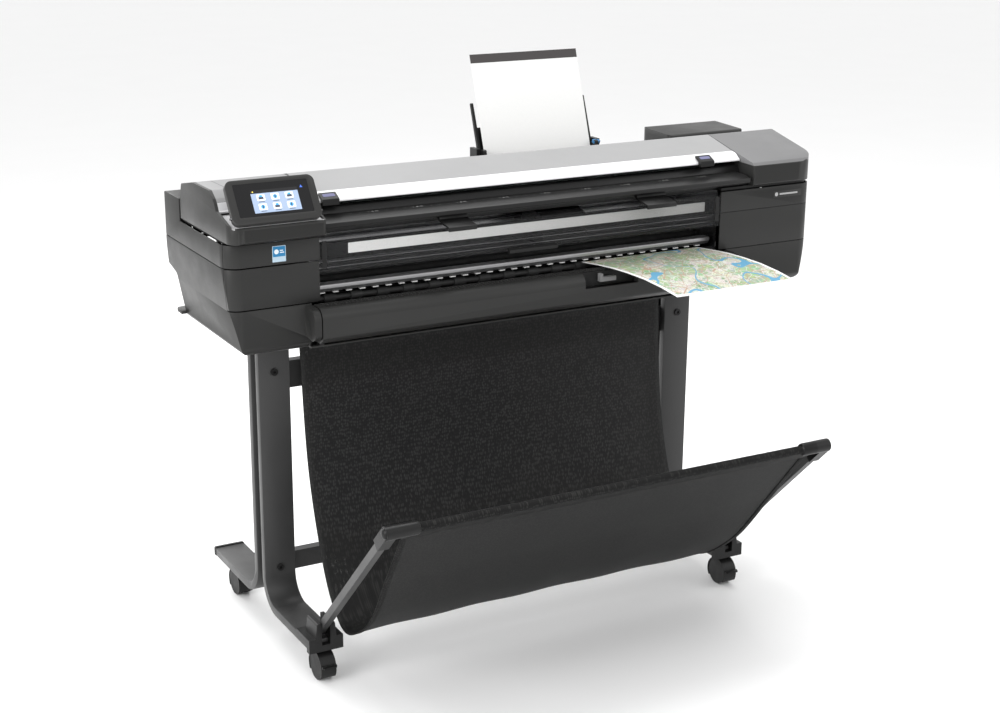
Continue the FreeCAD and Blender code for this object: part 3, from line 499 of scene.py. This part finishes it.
def screen_light(name, colour, strength):
    """Lit screen area; a fine dot grid breaks it up."""
    shader = Shader(name)
    axes = shader.axes()
    waves = [shader.math("SINE", shader.math("MULTIPLY", axes[index], 9000)) for index in (0, 2)]
    grid = shader.math("MULTIPLY", *waves)
    tone = shader.mix(shader.ramp(grid, 0, 0.12, -1, 1), colour, tuple(channel * 0.8 for channel in colour))
    shader.set(Base_Color=tone, Emission_Color=tone, Emission_Strength=strength, Roughness=0.2)
    return shader.material


# ---- mesh helpers ----
def new_object(name, mesh, body, material):
    """Visible piece of one material, attached to the body unless body is None."""
    piece = bpy.data.objects.new(name, mesh)
    bpy.context.collection.objects.link(piece)
    piece.data.materials.clear()
    piece.data.materials.append(material)
    if body:
        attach(piece, body)
    return piece


def apply_modifiers(piece):
    """Keep the shape that the modifiers make and drop them."""
    graph = bpy.context.evaluated_depsgraph_get()
    shaped = bpy.data.meshes.new_from_object(piece.evaluated_get(graph))
    piece.modifiers.clear()
    piece.data = shaped


def refined(node, material):
    """Copy of a CAD node with its sharp edges rounded; it stands for that node."""
    mesh = NODES[node].data.copy()
    work = bmesh.new()
    work.from_mesh(mesh)
    bmesh.ops.remove_doubles(work, verts=work.verts, dist=1e-6)
    bmesh.ops.dissolve_limit(
        work, angle_limit=math.radians(1.0), verts=work.verts, edges=work.edges, delimit=set(),
    )
    work.to_mesh(mesh)
    work.free()
    piece = new_object(node + "_shell", mesh, BODY_OF[node], material)
    bevel = piece.modifiers.new("edges", "BEVEL")
    bevel.width = 0.0008
    bevel.segments = 2
    bevel.limit_method = "ANGLE"
    bevel.angle_limit = math.radians(32)
    apply_modifiers(piece)
    for face in piece.data.polygons:
        face.use_smooth = True
    piece.data.set_sharp_from_angle(angle=math.radians(30))
    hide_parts(node)
    return piece


def finish_node(node, material):
    """Better material on a CAD node that keeps its own shape."""
    for place in NODES[node].material_slots:
        place.material = material


MATERIALS = {
    "frame_metal": powder_coat("frame_paint", (0.034, 0.034, 0.034)),
    "steel": brushed_metal("brushed_steel", (0.4, 0.4, 0.41)),
    "bright_steel": star_wheel_steel(),
    "black_plastic": moulded_plastic("black_plastic", BLACK, 0.34),
    "charcoal_plastic": moulded_plastic("charcoal_plastic", CHARCOAL, 0.4),
    "silver_plastic": lid_plastic(),
    "smoked_plastic": smoked_window(),
    "clear_glass": clear_glass(),
    "display": moulded_plastic("display_black", (0.004, 0.004, 0.0045), 0.12, 0.02),
    "mesh_fabric": rubber("mesh_fabric_plain", (0.02, 0.02, 0.02)),
    "media": paper("plain_paper"),
    "print": map_print(),
    "wheel": rubber("wheel_rubber", (0.012, 0.012, 0.012)),
    "roller_rubber": rubber("roller_rubber", (0.008, 0.008, 0.008)),
    "ink": moulded_plastic("ink_plastic", (0.012, 0.012, 0.015), 0.3),
}
OWN_MATERIALS = {
    "left_pod": left_pod_plastic(),
    "right_pod": right_pod_plastic(),
    "roll_cover": roll_cover_plastic(),
    "tray_sheet": feeder_paper(),
    "display_housing": moulded_plastic("bezel_charcoal", (0.022, 0.022, 0.0215), 0.36),
}


# ---- small printed and moulded details ----
class Relief:
    """Collects thin raised shapes of one colour on one flat face."""

    def __init__(self, place):
        self.place = place
        self.work = bmesh.new()

    def shape(self, points, low, high):
        """Prism over a flat outline, from height low to high above the face."""
        bottom = [self.work.verts.new(self.place(u, v, low)) for u, v in points]
        top = [self.work.verts.new(self.place(u, v, high)) for u, v in points]
        self.work.faces.new(top)
        self.work.faces.new(bottom[::-1])
        for index in range(len(points)):
            after = (index + 1) % len(points)
            self.work.faces.new((bottom[index], bottom[after], top[after], top[index]))

    def panel(self, u0, u1, v0, v1, low, high, radius=0.001):
        self.shape(rounded(u0, u1, v0, v1, radius), low, high)

    def disc(self, u, v, radius, low, high):
        self.shape([(u + radius * math.cos(a), v + radius * math.sin(a)) for a in full_turn(24)], low, high)

    def finish(self, name, body, slot, material):
        bmesh.ops.recalc_face_normals(self.work, faces=self.work.faces)
        mesh = bpy.data.meshes.new(name)
        self.work.to_mesh(mesh)
        self.work.free()
        return new_object(name, mesh, body, material)


def full_turn(steps):
    """Angles of a closed ring."""
    return [2 * math.pi * step / steps for step in range(steps)]


def rounded(u0, u1, v0, v1, radius, steps=5):
    """Rectangle with round corners."""
    radius = min(radius, (u1 - u0) / 2.01, (v1 - v0) / 2.01)
    points = []
    corners = ((u1 - radius, v1 - radius, 0), (u0 + radius, v1 - radius, 90),
               (u0 + radius, v0 + radius, 180), (u1 - radius, v0 + radius, 270))
    for u, v, start in corners:
        for step in range(steps + 1):
            angle = math.radians(start + 90 * step / steps)
            points.append((u + radius * math.cos(angle), v + radius * math.sin(angle)))
    return points


def front_face(y):
    """Places on an upright face that looks towards the operator."""
    return lambda u, v, w: Vector((u, y - w, v))


def sloped_face(y, z, degrees):
    """Places on a face that rises towards the rear from the line (y, z)."""
    angle = math.radians(degrees)
    cosine = math.cos(angle)
    sine = math.sin(angle)
    return lambda u, v, w: Vector((u, y + v * cosine - w * sine, z + v * sine + w * cosine))


SCREEN = sloped_face(*SCREEN_FOOT, SCREEN_SLOPE)


def finish_lit(relief, name, colour, strength):
    relief.finish(name, "display", "display", screen_light(name, colour, strength))


def make_screen():
    """Lit screen with six tiles, made-up signs on them and a status bar."""
    left = SCREEN_X - SCREEN_HALF
    right = SCREEN_X + SCREEN_HALF
    foot, head = SCREEN_V
    glow = Relief(SCREEN)
    glow.panel(left, right, foot, head - 0.007, -0.0004, -0.0001, 0.0006)
    finish_lit(glow, "screen_glow", (0.30, 0.38, 0.52), 0.30)
    bar = Relief(SCREEN)
    bar.panel(left, right, head - SCREEN_BAR, head, -0.0004, -0.0001, 0.0006)
    finish_lit(bar, "screen_bar", (0.006, 0.006, 0.007), 0.2)
    dot = Relief(SCREEN)
    dot.disc(left + 0.005, head - SCREEN_BAR / 2, 0.0013, -0.0001, 0.0)
    finish_lit(dot, "screen_dot", (0.9, 0.65, 0.08), 0.8)
    tiles = Relief(SCREEN)
    signs = Relief(SCREEN)
    blue = Relief(SCREEN)
    for row in range(2):
        for column in range(3):
            u = SCREEN_X + (column - 1) * TILE_PITCH[0]
            v = foot + 0.0115 + row * TILE_PITCH[1]
            tiles.panel(u - 0.0085, u + 0.0085, v - 0.006, v + 0.0075, -0.0001, 0.0, 0.002)
            signs.panel(u - 0.006, u + 0.006, v - 0.0088, v - 0.0076, -0.0001, 0.0, 0.0004)
            if (row + column) % 2:
                signs.panel(u - 0.005, u + 0.005, v - 0.003, v + 0.002, 0.0, 0.0001, 0.001)
                blue.panel(u - 0.003, u + 0.003, v + 0.0015, v + 0.0055, 0.0, 0.0001, 0.0004)
            else:
                blue.disc(u, v + 0.0008, 0.0042, 0.0, 0.0001)
                signs.panel(u - 0.0012, u + 0.0012, v - 0.0025, v + 0.004, 0.0001, 0.0002, 0.0005)
    finish_lit(tiles, "screen_tiles", (0.70, 0.74, 0.8), 0.34)
    finish_lit(signs, "screen_signs", (0.06, 0.07, 0.1), 0.1)
    finish_lit(blue, "screen_colours", (0.05, 0.3, 0.62), 0.5)
    mark = Relief(SCREEN)
    triangle = [(SCREEN_X + 0.054, 0.066), (SCREEN_X + 0.060, 0.066), (SCREEN_X + 0.057, 0.0715)]
    mark.shape(triangle, -0.0004, -0.0001)
    finish_lit(mark, "bezel_mark", (0.05, 0.12, 0.5), 0.8)


def make_sticker():
    """Plain two-tone sticker on the upper left cover."""
    face = front_face(BODY_FRONT)
    white = Relief(face)
    white.panel(*STICKER, 0.0, 0.0002, 0.0012)
    white.finish("sticker_back", "machine", "charcoal_plastic", paper("sticker_white", (0.45, 0.58, 0.68)))
    blue = Relief(face)
    blue.panel(-0.6118, -0.5862, 0.9035, 0.9238, 0.0002, 0.0003, 0.0008)
    blue.finish("sticker_blue", "machine", "charcoal_plastic", paper("sticker_blue", (0.02, 0.2, 0.42)))
    pale = Relief(face)
    pale.disc(-0.6045, 0.9135, 0.0048, 0.0003, 0.0004)
    pale.panel(-0.5975, -0.5885, 0.9105, 0.9125, 0.0003, 0.0004, 0.0005)
    pale.panel(-0.5975, -0.5905, 0.9145, 0.9165, 0.0003, 0.0004, 0.0005)
    pale.finish("sticker_signs", "machine", "charcoal_plastic", paper("sticker_pale", (0.8, 0.86, 0.9)))


def make_name_plate():
    """Pale bars on the blank name plate."""
    bars = Relief(front_face(BODY_FRONT - 0.001))
    bars.disc(0.6045, 0.9145, 0.0045, 0.0, 0.0003)
    bars.panel(0.613, 0.664, 0.9125, 0.9163, 0.0, 0.0003, 0.0015)
    bars.finish("name_plate_bars", "machine", "charcoal_plastic", paper("plate_grey", (0.36, 0.36, 0.36)))


def make_latch_labels():
    """Pale violet label on each lid latch."""
    place = sloped_face(-0.034, 0.998, math.degrees(math.atan2(12, 24)))
    for side in ("left", "right"):
        low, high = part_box(side + "_lid_latch")
        label = Relief(place)
        label.panel(low[0] + 0.005, high[0] - 0.005, 0.009, 0.018, 0.0, 0.0004, 0.002)
        violet = paper(side + "_label", (0.16, 0.16, 0.28))
        label.finish(side + "_latch_label", side + "_latch", "black_plastic", violet)


def make_deck_marks():
    """Centring scale and arrows on the scanner's feed deck."""
    marks = Relief(sloped_face(-0.060, 0.966, math.degrees(math.atan2(1, 36))))
    low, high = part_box("scanner_input_tray")
    middle = (low[0] + high[0]) / 2
    for number in range(-22, 23):
        x = middle + number * 0.02
        tall = 0.0065 if number % 5 == 0 else 0.003
        marks.panel(x - 0.0004, x + 0.0004, 0.016, 0.016 + tall, 0.0, 0.0002, 0.0002)
        if number % 5 == 0:
            marks.shape([(x + 0.006, 0.018), (x + 0.012, 0.018), (x + 0.009, 0.023)], 0.0, 0.0002)
            marks.panel(x + 0.0145, x + 0.021, 0.019, 0.0212, 0.0, 0.0002, 0.0004)
    marks.finish("deck_marks", "machine", "black_plastic", paper("deck_mark_grey", (0.22, 0.22, 0.22)))


def rail_reflection_strip():
    """White strip on the rail behind the window: a painted reflection, given by emission that fades towards
    the right.
    """
    shader = Shader("rail_reflection_strip")
    tone = shader.mix(shader.noise(260, 4), (0.82, 0.82, 0.81), (0.88, 0.88, 0.87))
    shader.set(Base_Color=tone, Emission_Color=tone, Roughness=0.6)
    # emission strength paints the reflection, strongest at the left
    glow = shader.ramp(shader.axes()[0], 0.9, 0.1, -0.44, 0.30)
    shader.put(shader.surface.inputs["Emission Strength"], glow)
    return shader.material


def make_elbow_cuffs():
    """Moulded cuffs that reach from the elbows over the ends of the cloth sleeve."""
    turn = full_turn(40)
    for side, start, way in CUFF_STARTS:
        rows = []
        for reach, radius in CUFF_RINGS:
            x = start + way * reach
            rows.append([(x, BAR_Y + radius * math.cos(a), BAR_Z + radius * math.sin(a)) for a in turn])
        mesh = grid_mesh(side + "_elbow_cuff", rows, closed=True)
        mesh.set_sharp_from_angle(angle=math.radians(40))
        new_object(side + "_elbow_cuff", mesh, "basket_frame", MATERIALS["black_plastic"])


def make_inner_strip():
    """Painted reflection strip and guide wires on a dark channel behind the window."""
    low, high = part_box("inner_frame")
    face = front_face(-0.041)
    channel = Relief(face)
    channel.panel(low[0] + 0.012, high[0] - 0.012, 0.880, 0.913, 0.0, 0.003, 0.001)
    channel.panel(low[0] + 0.012, high[0] - 0.012, 0.853, 0.858, 0.0, 0.002, 0.0005)
    channel.finish("window_channel", "machine", "black_plastic", MATERIALS["black_plastic"])
    # white emissive strip: a painted reflection on the rail
    strip = Relief(face)
    strip.panel(*WINDOW_REFLECTION_X, 0.888, 0.909, 0.003, 0.0038, 0.001)
    strip.finish("window_rail_reflection", "machine", "bright_steel", rail_reflection_strip())
    wires = Relief(face)
    for foot, head in ((0.8735, 0.8747), (0.8622, 0.8632)):
        wires.panel(low[0] + 0.013, high[0] - 0.013, foot, head, 0.0, 0.0015, 0.0004)
    wires.finish("window_wires", "machine", "steel", MATERIALS["steel"])


def make_window_line():
    """Dark moulded line across the window, level with the seam of the housings, and its end strips."""
    low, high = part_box("window")
    line = Relief(front_face(BODY_FRONT))
    x0 = low[0] + 0.004
    x1 = high[0] - 0.004
    line.panel(x0, x1, 0.8855, 0.8868, 0.0, 0.0003, 0.0003)
    for end in (x0, x1 - 0.010):
        line.panel(end, end + 0.010, 0.868, 0.924, 0.0, 0.0003, 0.0006)
    line.finish("window_line", "window", "smoked_plastic", MATERIALS["black_plastic"])


def make_feeder_accent():
    """Blue release tab at the right of the sheet feeder."""
    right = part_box("tray_base")[1][0]
    tab = Relief(sloped_face(0.243, 1.0035, 20))
    tab.panel(right - 0.022, right - 0.004, 0.0, 0.012, 0.0, 0.006, 0.003)
    blue = moulded_plastic("feeder_blue", (0.03, 0.12, 0.25), 0.4)
    tab.finish("feeder_tab", "machine", "black_plastic", blue)


# ---- fabric basket ----
def curve_through(points, steps):
    """Smooth line through (y, z) points, with steps samples between neighbours."""
    line = []
    last = len(points) - 1
    for index in range(last):
        before = points[max(index - 1, 0)]
        start = points[index]
        end = points[index + 1]
        after = points[min(index + 2, last)]
        for step in range(steps):
            t = step / steps
            place = []
            for a, b, c, d in zip(before, start, end, after):
                place.append(0.5 * (2 * b + (c - a) * t + (2 * a - 5 * b + 4 * c - d) * t * t
                                    + (3 * b - a - 3 * c + d) * t ** 3))
            line.append(tuple(place))
    line.append(tuple(points[last]))
    return line


def fabric_profile():
    """Side view of the hanging cloth, from the top of the back panel to the front bar."""
    top = (BACK_HIGH.y, BACK_HIGH.z)
    knee = (BACK_LOW.y, BACK_LOW.z)
    toe = (FRONT_HIGH.y, FRONT_LOW.z + 0.001)
    bottom = ((TROUGH_LOW.y + TROUGH_HIGH.y) / 2 + 0.022, TROUGH_LOW.z + 0.002)
    drop = top[1] - knee[1]
    run = top[0] - knee[0]
    back = [top, (top[0], top[1] - 0.115 * drop), (top[0] - 0.18 * run, knee[1] + 0.47 * drop),
            (knee[0] + 0.41 * run, knee[1] + 0.155 * drop), knee]
    meet = (BAR_Y + 0.012, BAR_Z - 0.014)
    front = [toe, ((toe[0] + meet[0]) / 2, (toe[1] + meet[1]) / 2 - 0.003), meet]
    return curve_through(back + [bottom] + front, 16)


def sag(u, v):
    """How far the cloth hangs below its profile, across (u) and along (v) the sheet, both 0 to 1."""
    across = math.sin(math.pi * u)
    trough = math.exp(-((v - 0.58) / 0.12) ** 2)
    front = math.exp(-((v - 0.82) / 0.1) ** 2)
    ripple = 0.0012 * math.sin(9 * math.pi * u + 3 * v) * math.exp(-((v - 0.62) / 0.2) ** 2)
    return -0.004 * across * trough - 0.003 * across * front + ripple


def fabric_point(line, index, u, lift=0.0):
    """A point on the cloth: profile sample index, share u of the width, raised by lift."""
    last = len(line) - 1
    before = line[max(index - 1, 0)]
    after = line[min(index + 1, last)]
    span = math.dist(before, after)
    normal = ((after[1] - before[1]) / span, -(after[0] - before[0]) / span)
    offset = sag(u, index / last) + lift
    x = FABRIC_X[0] + u * (FABRIC_X[1] - FABRIC_X[0])
    share = min(1, max(0, (index / last - 0.72) / 0.28))
    x += NARROW * (1 - share) * (1 - 2 * u)
    pull = 0.004 * math.sin(math.pi * index / last)
    x += pull * (1 - 2 * u) * abs(1 - 2 * u) ** 4
    return (x, line[index][0] - normal[0] * offset, line[index][1] - normal[1] * offset)


def grid_mesh(name, rows, closed=False):
    """Quad mesh from rows of points."""
    vertices = [point for row in rows for point in row]
    width = len(rows[0])
    faces = []
    for r in range(len(rows) - 1):
        for c in range(width - 1 + closed):
            d = (c + 1) % width
            faces.append((r * width + c, r * width + d, (r + 1) * width + d, (r + 1) * width + c))
    mesh = bpy.data.meshes.new(name)
    mesh.from_pydata(vertices, [], faces)
    for face in mesh.polygons:
        face.use_smooth = True
    return mesh


def thicken(piece, amount):
    """Give a sheet its thickness, half on each side."""
    solid = piece.modifiers.new("thickness", "SOLIDIFY")
    solid.thickness = amount
    solid.offset = 0
    apply_modifiers(piece)


def weave_dots(shader):
    """0 on the yarns, 1 in the middle of each opening of the mesh."""
    x, y, z = shader.axes()[:3]
    flat = shader.node("ShaderNodeCombineXYZ")
    shader.put(flat.inputs[0], x)
    shader.put(flat.inputs[1], shader.math("MULTIPLY", shader.math("SUBTRACT", z, y), 0.75))
    cells = shader.voronoi(1 / MESH_PITCH, source=flat.outputs[0], randomness=0.55)
    return shader.ramp(cells, 1, 0, 0.12, 0.6)


def mesh_cloth():
    """Open black mesh: small uneven openings, slightly see-through."""
    shader = Shader("mesh_cloth")
    holes = weave_dots(shader)
    open_share = shader.ramp(holes, 0.0, 1.0, 0.1, 0.7)
    clouds = shader.noise(6, 3)
    yarn = shader.mix(clouds, (0.008, 0.008, 0.008), (0.012, 0.012, 0.012))
    shader.set(Base_Color=shader.mix(open_share, yarn, (0.022, 0.022, 0.021)), Specular_IOR_Level=0.25)
    shader.put(shader.surface.inputs["Roughness"], shader.ramp(clouds, 0.6, 0.75))
    shader.put(shader.surface.inputs["Alpha"], shader.ramp(open_share, 0.99, 0.9))
    shader.bump(holes, 0.12, 0.0004)
    shader.material.surface_render_method = "BLENDED"
    return shader.material


def hem_cloth():
    """Folded edge of the same mesh, two layers thick."""
    shader = Shader("hem_cloth")
    weave = weave_dots(shader)
    raised = shader.ramp(weave, 0, 1, 0.2, 0.8)
    shader.set(Base_Color=shader.mix(raised, (0.007, 0.007, 0.007), (0.02, 0.02, 0.019)))
    shader.put(shader.surface.inputs["Roughness"], shader.ramp(shader.noise(30, 3), 0.6, 0.8))
    shader.set(Specular_IOR_Level=0.15)
    shader.bump(weave, 0.6, 0.0006)
    return shader.material


def thread():
    """Black sewing thread."""
    shader = Shader("thread")
    tone = shader.mix(shader.noise(400, 2), (0.008, 0.008, 0.008), (0.02, 0.02, 0.02))
    return shader.set(Base_Color=tone, Roughness=0.6).material


def make_basket():
    """The cloth with its hems, sleeve and stitches, from under the body to the front bar."""
    line = fabric_profile()
    cloth = mesh_cloth()
    folded = hem_cloth()
    columns = 72
    sheet_rows = [[fabric_point(line, r, c / columns) for c in range(columns + 1)] for r in range(len(line))]
    sheet = new_object("basket_fabric", grid_mesh("basket_fabric", sheet_rows), None, cloth)
    thicken(sheet, CLOTH)
    width = FABRIC_X[1] - FABRIC_X[0]
    hems = []
    for side, first, last in (("left", 0, HEM / width), ("right", 1 - HEM / width, 1)):
        shares = [first + (last - first) * k / 4 for k in range(5)]
        rows = [[fabric_point(line, r, share, 0.0009) for share in shares] for r in range(len(line))]
        hem = new_object(side + "_basket_hem", grid_mesh(side + "_hem", rows), None, folded)
        thicken(hem, 0.0022)
        hems.append(hem)
    for piece in [sheet] + hems:
        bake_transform(piece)
    sleeve = make_sleeve(line, folded)
    stitches = make_stitches(line)
    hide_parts("fabric_back", "fabric_trough", "fabric_front")


def sleeve_axes(line):
    """The front bar's place in (y, z), and the directions down along the cloth and out of it."""
    down = (Vector(line[-3]) - Vector(line[-1])).normalized()
    return Vector((BAR_Y, BAR_Z)), down, Vector((-down.y, down.x))


def make_sleeve(line, material):
    """Cloth wrapped round the front bar and sewn to itself."""
    bar, down, out = sleeve_axes(line)
    radius = BAR_R + 0.0022
    profile = []
    for step in range(19):
        angle = math.radians(-100 + 200 * step / 18)
        profile.append(bar - down * radius * math.cos(angle) + out * radius * math.sin(angle))
    tail = bar + down * (SLEEVE + 0.012)
    ring = profile + [tail + out * 0.0016, tail - out * 0.0016]
    rows = []
    columns = 120
    for column in range(columns + 1):
        u = column / columns
        x = FABRIC_X[0] + u * (FABRIC_X[1] - FABRIC_X[0])
        row = []
        for number, spot in enumerate(ring):
            pucker = 0.0005 * noise.noise((x * 60, number * 0.7, 3.1))
            row.append((x, spot.x + pucker * out.x, spot.y + pucker * out.y))
        rows.append(row)
    mesh = grid_mesh("basket_sleeve", rows, closed=True)
    return new_object("basket_sleeve", mesh, "basket_frame", material)


def make_stitches(line):
    """Two rows of thread dashes, along the sleeve's seam."""
    bar, down, out = sleeve_axes(line)
    work = bmesh.new()
    dash_size = Matrix.Diagonal((0.0019, 0.0005, 0.0005, 1))
    count = int((FABRIC_X[1] - FABRIC_X[0]) / STITCH_PITCH)
    for side in (-1, 1):
        spot = bar + down * (SLEEVE + 0.007) + out * side * 0.0022
        for number in range(count):
            x = FABRIC_X[0] + (number + 0.5) * STITCH_PITCH
            place = Matrix.Translation((x, spot.x, spot.y)) @ dash_size
            dash = bmesh.ops.create_uvsphere(work, u_segments=6, v_segments=4, radius=1)
            bmesh.ops.transform(work, matrix=place, verts=dash["verts"])
    mesh = bpy.data.meshes.new("basket_stitches")
    work.to_mesh(mesh)
    work.free()
    return new_object("basket_stitches", mesh, "basket_frame", thread())


# the covers, housings and legs whose edges are rounded
REFINED = (
    "bottom_pan", "left_side_cover", "left_upper_cover", "ink_door", "right_cover", "rear_cover",
    "roll_cover",
    "left_pod", "right_pod", "display_housing", "electronics_box", "scanner_base", "scanner_input_tray",
    "left_front_leg", "left_rear_leg", "right_front_leg", "right_rear_leg",
)

make_camera()
make_studio()
for node in NODES:
    own = OWN_MATERIALS.get(node, MATERIALS[SLOT_OF[node]])
    finish_node(node, own)
    if node in REFINED:
        refined(node, own)

make_basket()
make_screen()
make_sticker()
make_name_plate()
make_latch_labels()
make_deck_marks()
make_inner_strip()
make_window_line()
make_feeder_accent()
make_elbow_cuffs()
